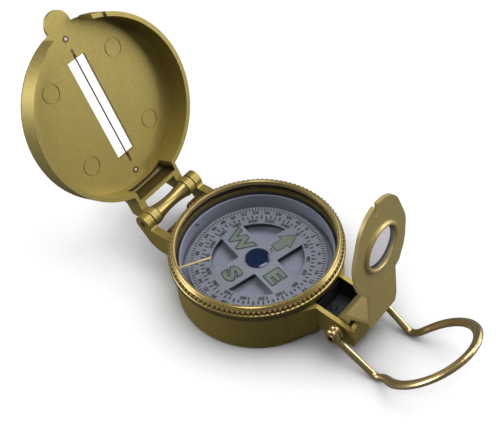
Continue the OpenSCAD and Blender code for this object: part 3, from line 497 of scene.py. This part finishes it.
def print_letters():
    """The three big letters, a dark edge below and a luminous face above, all upright to north."""
    edge = bmesh.new()
    face = bmesh.new()
    for letter, (angle, radius, wide) in LETTERS.items():
        for work, spread, height in ((edge, EDGE_SPREAD, EDGE_HEIGHT), (face, FACE_SPREAD, FACE_HEIGHT)):
            spot = around(angle, radius * MM, height, upright=True)
            add_text(work, letter, LETTER_SIZE, spot, LETTER_THICK, wide, spread)
    finish_piece(mesh_object("letter_edges", edge), "letter_edge", "dial")
    finish_piece(mesh_object("letter_faces", face), "luminous_green", "dial")


def arrow_outline(border):
    """The corners of the north arrow, moved outwards by a border."""
    shaft = SHAFT_HALF + border
    barb = ARROW_HALF + border * BARB_BORDER
    foot = ARROW_FOOT - border
    neck = ARROW_TIP - ARROW_HEAD - border
    tip = ARROW_TIP + border * TIP_BORDER
    right = [(shaft, foot), (shaft, neck), (barb, neck)]
    left = [(-x, y) for x, y in reversed(right)]
    return [*right, (0, tip), *left]


def print_arrow_border():
    """Thin dark border round the north arrow, raised from a flat ring."""
    work = bmesh.new()
    rims = []
    for border in (0, BORDER):
        corners = [work.verts.new(card_turn @ Vector((x, y, CARD_TOP))) for x, y in arrow_outline(border)]
        rims += [work.edges.new(pair) for pair in zip(corners, corners[1:] + corners[:1])]
    ring = bmesh.ops.bridge_loops(work, edges=rims)["faces"]
    raised = bmesh.ops.extrude_face_region(work, geom=ring, use_keep_orig=True)["geom"]
    top = [part for part in raised if isinstance(part, bmesh.types.BMVert)]
    bmesh.ops.translate(work, verts=top, vec=(0, 0, BORDER_THICK))
    bmesh.ops.recalc_face_normals(work, faces=work.faces)
    finish_piece(mesh_object("arrow_edge", work), "letter_edge", "dial")


def add_ticks(work, places, start, even_length, odd_length, half_width):
    """A ring of ticks. A length of 0 leaves its ticks out."""
    for i in range(places):
        length = odd_length if i % 2 else even_length
        if length:
            size = (half_width * 2, length, TICK_THICK)
            middle = (0, start + length / 2, CARD_TOP + TICK_THICK / 2)
            turn = card_turn @ Matrix.Rotation(math.radians(-360 / places * i), 4, "Z")
            matrix = turn @ Matrix.Translation(middle) @ Matrix.Diagonal((*size, 1))
            bmesh.ops.create_cube(work, size=1, matrix=matrix)


def add_numbers(work, full_turn, step, radius, size, wide):
    """The numbers of one scale, their tops turned outwards."""
    for number in range(0, full_turn, step):
        spot = around(number * 360 / full_turn, radius, NUMBER_HEIGHT)
        add_text(work, str(number), size, spot, wide=wide, spread=NUMBER_SPREAD)


def print_scales():
    """The degree scale, the scale in hundreds of mils and the small N."""
    ticks = bmesh.new()
    add_ticks(ticks, *DEGREE_TICKS)
    add_ticks(ticks, *MIL_TICKS)
    finish_piece(mesh_object("scale_ticks", ticks), "black_mark", "dial")
    numbers = bmesh.new()
    add_numbers(numbers, *DEGREE_NUMBERS)
    add_numbers(numbers, *MIL_NUMBERS)
    add_text(numbers, "N", NORTH_SIZE, around(0, NORTH_R, NUMBER_HEIGHT))
    finish_piece(mesh_object("scale_numbers", numbers), "black_mark", "dial")


print_letters()
print_arrow_border()
print_scales()


# Floor, world, lamps and camera

FLOOR_HALF, FLOOR_GAP = 3.0, 0.02 * MM
SHADE_REACH, SHADE_SAMPLES = 30 * MM, 16
SHADE_GIVEN, SHADE_WANTED = (0.45, 0.93), (0.0, 1.20)
FLOOR_LIT, FLOOR_LIT_SHARE = (0.68, 0.68, 0.69), 0.42
FLOOR_UNSEEN = (0.12, 0.12, 0.12)
WORLD_STRENGTH = 0.055
LAMP_AIM = Vector((0, 0, 0.02))

# Each lamp: its place, side length and power
LAMPS = {
    "key": ((-0.355, -0.158, 0.70), 0.14, 1.8),
    "top": ((0.20, -0.12, 0.78), 0.5, 4.9),
    "left_back": ((-0.46, 0.59, 0.31), 0.45, 6.2),
    "front_right": ((0.55, -0.53, 0.31), 0.5, 4.8),
    "right_low": ((0.72, -0.08, 0.32), 0.5, 2.0),
}

CAMERA_AZIMUTH, CAMERA_ELEVATION, CAMERA_ROLL = -46.77, 47.11, -6.75
CAMERA_AIM, CAMERA_DISTANCE = (0.0156, 0.0155, 0.0068), 0.29
CAMERA_LENS, CAMERA_NEAR, CAMERA_FAR = 67.1, 0.01, 20


def seen_by_camera(tree):
    """1 for the rays that come straight from the camera, 0 for all others."""
    return tree.nodes.new("ShaderNodeLightPath").outputs["Is Camera Ray"]


def make_floor():
    """White floor that turns grey close under the object. Only the camera sees it white."""
    work = bmesh.new()
    bmesh.ops.create_grid(work, x_segments=1, y_segments=1, size=FLOOR_HALF)
    floor = mesh_object("floor", work)
    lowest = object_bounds()[0].z
    for vertex in floor.data.vertices:
        vertex.co.z = min(lowest, 0) - FLOOR_GAP
    material, tree, shader = new_material("floor_white")
    tree.nodes.remove(shader)
    near = tree.nodes.new("ShaderNodeAmbientOcclusion")
    near.inputs["Distance"].default_value = SHADE_REACH
    near.samples = SHADE_SAMPLES
    glow = plain_shader(tree, "ShaderNodeEmission", WHITE)
    fade = map_range(tree, near.outputs["AO"], SHADE_GIVEN, SHADE_WANTED)
    tree.links.new(fade, glow.inputs["Strength"])
    lit = plain_shader(tree, "ShaderNodeBsdfDiffuse", FLOOR_LIT)
    seen = mix_shaders(tree, FLOOR_LIT_SHARE, glow.outputs["Emission"], lit.outputs["BSDF"])
    unseen = plain_shader(tree, "ShaderNodeBsdfDiffuse", FLOOR_UNSEEN)
    result = mix_shaders(tree, seen_by_camera(tree), unseen.outputs["BSDF"], seen)
    tree.links.new(result, tree.nodes["Material Output"].inputs["Surface"])
    floor.data.materials.append(material)


def make_world():
    """Dim grey light from all round, seen as white by the camera."""
    world = bpy.data.worlds.new("studio")
    bpy.context.scene.world = world
    world.use_nodes = True
    tree = world.node_tree
    tree.nodes.remove(tree.nodes["Background"])
    around_object = plain_shader(tree, "ShaderNodeBackground", WHITE)
    around_object.inputs["Strength"].default_value = WORLD_STRENGTH
    seen = plain_shader(tree, "ShaderNodeBackground", WHITE)
    result = mix_shaders(
        tree, seen_by_camera(tree), around_object.outputs["Background"], seen.outputs["Background"]
    )
    tree.links.new(result, tree.nodes["World Output"].inputs["Surface"])


def make_lamp(name, place, size, power):
    """A square area lamp that points at the object."""
    data = bpy.data.lights.new(name, "AREA")
    data.size = size
    data.energy = power
    lamp = bpy.data.objects.new(name, data)
    lamp.location = place
    lamp.rotation_euler = (LAMP_AIM - Vector(place)).to_track_quat("-Z", "Y").to_euler()
    bpy.context.scene.collection.objects.link(lamp)


def make_camera():
    """Camera on a sphere round its aim point, turned a little about its own view line."""
    turn, rise, tilt = (math.radians(v) for v in (CAMERA_AZIMUTH, CAMERA_ELEVATION, CAMERA_ROLL))
    back = Vector((math.sin(turn) * math.cos(rise), -math.cos(turn) * math.cos(rise), math.sin(rise)))
    level = Vector((math.cos(turn), math.sin(turn), 0))
    above = back.cross(level)
    right = level * math.cos(tilt) + above * math.sin(tilt)
    up = back.cross(right)
    data = bpy.data.cameras.new("camera")
    data.lens = CAMERA_LENS
    data.clip_start = CAMERA_NEAR
    data.clip_end = CAMERA_FAR
    camera = bpy.data.objects.new("camera", data)
    place = Vector(CAMERA_AIM) + back * CAMERA_DISTANCE
    axes = Matrix((right, up, back)).transposed().to_4x4()
    camera.matrix_world = Matrix.Translation(place) @ axes
    bpy.context.scene.collection.objects.link(camera)
    bpy.context.scene.camera = camera


make_floor()
make_world()
for name, row in LAMPS.items():
    make_lamp(name, *row)
make_camera()
bpy.context.scene.view_settings.view_transform = "Standard"
